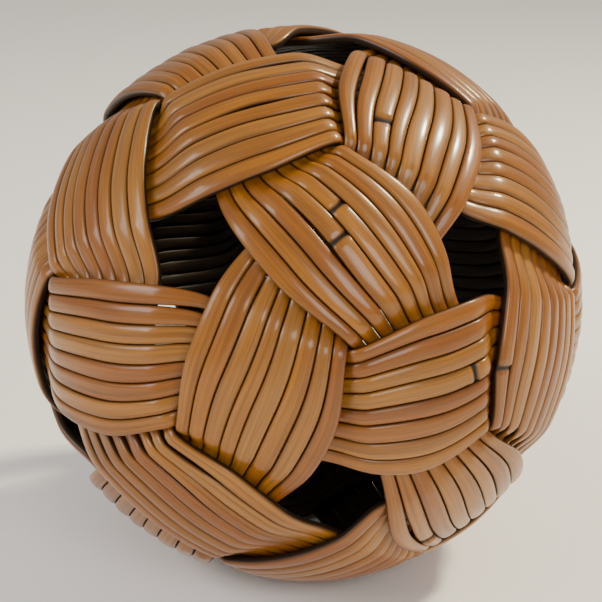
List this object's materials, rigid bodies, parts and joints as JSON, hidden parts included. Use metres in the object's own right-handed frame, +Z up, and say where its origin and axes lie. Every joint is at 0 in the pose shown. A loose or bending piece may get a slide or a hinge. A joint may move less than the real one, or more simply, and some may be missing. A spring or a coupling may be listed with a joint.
{
  "type": "woven cane ball",
  "caption": "Hollow ball of flat cane bands woven over and under each other like great circles, with five-sided holes between them and small flats to rest on.",
  "frame": {"origin": "on the surface the ball rests on, under the middle of its bounding box", "axes": "+Z up through the top hole, -Y towards the viewer of the front, +X to that viewer's right"},
  "size_m": [0.134, 0.134, 0.1298],
  "materials": {
    "cane": "clear gloss varnish"
  },
  "bodies": {
    "root": {"band_1_strand_1": "cane", "band_1_strand_2": "cane", "band_1_strand_3": "cane", "band_1_strand_4": "cane", "band_1_strand_5": "cane", "band_1_strand_6": "cane", "band_1_strand_7": "cane", "band_1_strand_8": "cane", "band_2_strand_1": "cane", "band_2_strand_2": "cane", "band_2_strand_3": "cane", "band_2_strand_4": "cane", "band_2_strand_5": "cane", "band_2_strand_6": "cane", "band_2_strand_7": "cane", "band_2_strand_8": "cane", "band_3_strand_1": "cane", "band_3_strand_2": "cane", "band_3_strand_3": "cane", "band_3_strand_4": "cane", "band_3_strand_5": "cane", "band_3_strand_6": "cane", "band_3_strand_7": "cane", "band_3_strand_8": "cane", "band_4_strand_1": "cane", "band_4_strand_2": "cane", "band_4_strand_3": "cane", "band_4_strand_4": "cane", "band_4_strand_5": "cane", "band_4_strand_6": "cane", "band_4_strand_7": "cane", "band_4_strand_8": "cane", "band_5_strand_1": "cane", "band_5_strand_2": "cane", "band_5_strand_3": "cane", "band_5_strand_4": "cane", "band_5_strand_5": "cane", "band_5_strand_6": "cane", "band_5_strand_7": "cane", "band_5_strand_8": "cane", "band_6_strand_1": "cane", "band_6_strand_2": "cane", "band_6_strand_3": "cane", "band_6_strand_4": "cane", "band_6_strand_5": "cane", "band_6_strand_6": "cane", "band_6_strand_7": "cane", "band_6_strand_8": "cane"}
  },
  "joints": []
}
